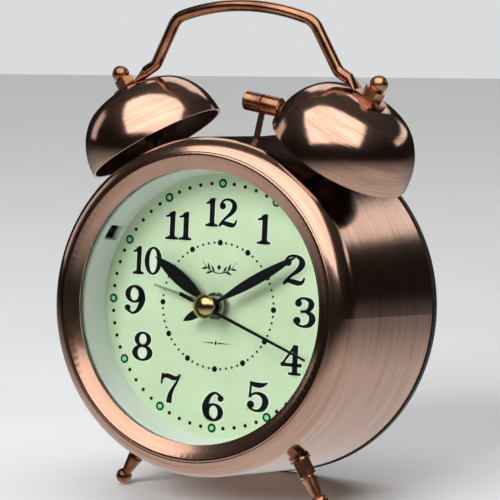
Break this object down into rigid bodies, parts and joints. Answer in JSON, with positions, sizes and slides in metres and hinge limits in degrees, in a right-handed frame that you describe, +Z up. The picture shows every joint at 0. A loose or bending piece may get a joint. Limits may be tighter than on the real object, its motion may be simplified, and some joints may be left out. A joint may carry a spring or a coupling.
{
  "type": "alarm clock",
  "caption": "Twin-bell quartz alarm clock: round copper drum on two splayed feet, two domed bells, bent-rod handle, swinging hammer between the bells.",
  "frame": {"origin": "middle of the clock's bounding box, on the table it stands on", "axes": "+Z up, +Y from the dial to the back, +X to the right of someone facing the dial"},
  "size_m": [0.1182, 0.0774, 0.1625],
  "materials": {
    "brushed_copper": "antique brushed copper plating under clear lacquer",
    "bell_copper": "antique copper plating, brushed round the dome",
    "trim_copper": "glossy antique copper plating",
    "hammer_steel": "darkened copper plating",
    "plated_steel": "bright nickel plating",
    "clear_glass": "clear flat glass",
    "clear_lamp": "clear lamp body",
    "grey_rubber": "soft grey rubber",
    "white_plastic": "pale satin reflector",
    "black_plastic": "fine-grained black",
    "black_gloss": "polished black",
    "dial_green": "pale green luminous coating",
    "black_lacquer": "satin black lacquer",
    "olive_lacquer": "olive lacquer",
    "polished_brass": "polished",
    "cream_plastic": "moulded acetal",
    "magnet_black": "dark magnet",
    "wire_copper": "enamelled winding",
    "board_green": "solder resist",
    "battery_wrap": "printed wrap in plain dark grey",
    "wire_sleeve": "red sleeve"
  },
  "bodies": {
    "case": {"acorn_nuts": "trim_copper", "alarm_switch_body": "black_plastic", "back_cover": "black_plastic", "batteries": "battery_wrap", "battery_box": "black_plastic", "battery_contacts": "plated_steel", "bell_left": "bell_copper", "bell_posts": "plated_steel", "bell_right": "bell_copper", "bezel_ring": "brushed_copper", "case_lugs": "plated_steel", "circuit_board": "board_green", "coil": "wire_copper", "cover_screws": "plated_steel", "dial": "dial_green", "drum_case": "brushed_copper", "foot_left": "trim_copper", "foot_right": "trim_copper", "foot_washers": "trim_copper", "hammer_bracket": "plated_steel", "hammer_motor": "plated_steel", "hammer_pin": "plated_steel", "handle": "trim_copper", "inner_nuts": "plated_steel", "lead_wires": "wire_sleeve", "led_holder": "black_plastic", "led_lamp": "clear_lamp", "lens": "clear_glass", "lens_gasket": "grey_rubber", "light_switch": "black_plastic", "mounting_nut": "plated_steel", "movement_housing": "cream_plastic", "movement_plate": "cream_plastic", "quartz_crystal": "plated_steel", "reflector_ring": "white_plastic", "stator": "plated_steel"},
    "second_hand": {"second_hand": "black_lacquer", "second_cap": "polished_brass", "seconds_wheel": "cream_plastic"},
    "intermediate_wheel": {"intermediate_wheel": "cream_plastic"},
    "rotor": {"rotor": "magnet_black"},
    "third_wheel": {"third_wheel": "cream_plastic"},
    "minute_wheel": {"minute_wheel": "cream_plastic"},
    "minute_hand": {"minute_hand": "black_lacquer", "cannon_pinion": "plated_steel"},
    "motion_wheel": {"motion_wheel": "cream_plastic"},
    "hour_hand": {"hour_hand": "black_lacquer", "hour_wheel": "cream_plastic"},
    "time_knob": {"time_knob": "black_plastic"},
    "alarm_hand": {"alarm_hand": "olive_lacquer", "alarm_wheel": "cream_plastic"},
    "alarm_knob": {"alarm_knob": "black_plastic"},
    "hammer": {"hammer_lever": "plated_steel", "hammer_stem": "hammer_steel", "hammer_head": "trim_copper"},
    "striker_gear": {"striker_gear": "cream_plastic"},
    "motor_pinion": {"motor_pinion": "cream_plastic"},
    "light_button": {"light_button": "black_gloss"},
    "alarm_switch": {"alarm_switch": "black_gloss"},
    "battery_door": {"battery_door": "black_plastic"}
  },
  "joints": [
    {"name": "second_turn", "type": "hinge", "parent": "case", "child": "second_hand", "pos_m": [-0.0008, -0.00733, 0.06256], "axis": [0, 0.9921, -0.1253], "continuous": true},
    {"name": "intermediate_turn", "type": "hinge", "parent": "case", "child": "intermediate_wheel", "pos_m": [-0.0008, -0.00646, 0.06951], "axis": [0, 0.9921, -0.1253], "continuous": true},
    {"name": "rotor_turn", "type": "hinge", "parent": "case", "child": "rotor", "pos_m": [-0.0047, -0.00617, 0.07174], "axis": [0, 0.9921, -0.1253], "continuous": true},
    {"name": "third_turn", "type": "hinge", "parent": "case", "child": "third_wheel", "pos_m": [-0.00388, -0.00839, 0.05418], "axis": [0, 0.9921, -0.1253], "continuous": true},
    {"name": "minute_wheel_turn", "type": "hinge", "parent": "case", "child": "minute_wheel", "pos_m": [-0.0008, -0.00733, 0.06256], "axis": [0, 0.9921, -0.1253], "continuous": true},
    {"name": "minute_turn", "type": "hinge", "parent": "case", "child": "minute_hand", "pos_m": [-0.0008, -0.00733, 0.06256], "axis": [0, 0.9921, -0.1253], "continuous": true},
    {"name": "motion_turn", "type": "hinge", "parent": "case", "child": "motion_wheel", "pos_m": [0.00484, -0.00708, 0.0646], "axis": [0, 0.9921, -0.1253], "continuous": true},
    {"name": "hour_turn", "type": "hinge", "parent": "case", "child": "hour_hand", "pos_m": [-0.0008, -0.00733, 0.06256], "axis": [0, 0.9921, -0.1253], "continuous": true},
    {"name": "time_knob_turn", "type": "hinge", "parent": "case", "child": "time_knob", "pos_m": [0.01329, -0.00669, 0.06766], "axis": [0, 0.9921, -0.1253], "continuous": true},
    {"name": "alarm_turn", "type": "hinge", "parent": "case", "child": "alarm_hand", "pos_m": [-0.0008, -0.00733, 0.06256], "axis": [0, 0.9921, -0.1253], "continuous": true},
    {"name": "alarm_knob_turn", "type": "hinge", "parent": "case", "child": "alarm_knob", "pos_m": [-0.01349, -0.00675, 0.06715], "axis": [0, 0.9921, -0.1253], "continuous": true},
    {"name": "hammer_swing", "type": "hinge", "parent": "case", "child": "hammer", "pos_m": [-0.0002, -0.00185, 0.08606], "axis": [0, 0.9921, -0.1253], "range_deg": [-18.1, 0]},
    {"name": "striker_turn", "type": "hinge", "parent": "case", "child": "striker_gear", "pos_m": [0.00007, -0.00307, 0.09629], "axis": [0, 0.9921, -0.1253], "continuous": true},
    {"name": "motor_turn", "type": "hinge", "parent": "case", "child": "motor_pinion", "pos_m": [-0.00793, -0.00307, 0.09629], "axis": [0, 0.9921, -0.1253], "continuous": true},
    {"name": "light_button_press", "type": "slide", "parent": "case", "child": "light_button", "axis": [0, -0.9921, 0.1253], "range_m": [0, 0.0015], "stiffness_N_per_m": 300, "springref_m": -0.0008},
    {"name": "alarm_switch_slide", "type": "slide", "parent": "case", "child": "alarm_switch", "axis": [1, 0, 0], "range_m": [0, 0.0064]},
    {"name": "battery_door_off", "type": "slide", "parent": "case", "child": "battery_door", "axis": [0, 0.9921, -0.1253], "range_m": [0, 0.015]}
  ],
  "couplings": [
    {"joint": "intermediate_turn", "follows": "second_turn", "ratio": -6},
    {"joint": "rotor_turn", "follows": "second_turn", "ratio": 30},
    {"joint": "third_turn", "follows": "second_turn", "ratio": -0.13333},
    {"joint": "minute_wheel_turn", "follows": "second_turn", "ratio": 0.016667},
    {"joint": "motion_turn", "follows": "minute_turn", "ratio": -0.33333},
    {"joint": "hour_turn", "follows": "minute_turn", "ratio": 0.083333},
    {"joint": "time_knob_turn", "follows": "minute_turn", "ratio": 0.33333},
    {"joint": "alarm_knob_turn", "follows": "alarm_turn", "ratio": -0.5},
    {"joint": "motor_turn", "follows": "striker_turn", "ratio": -3}
  ]
}
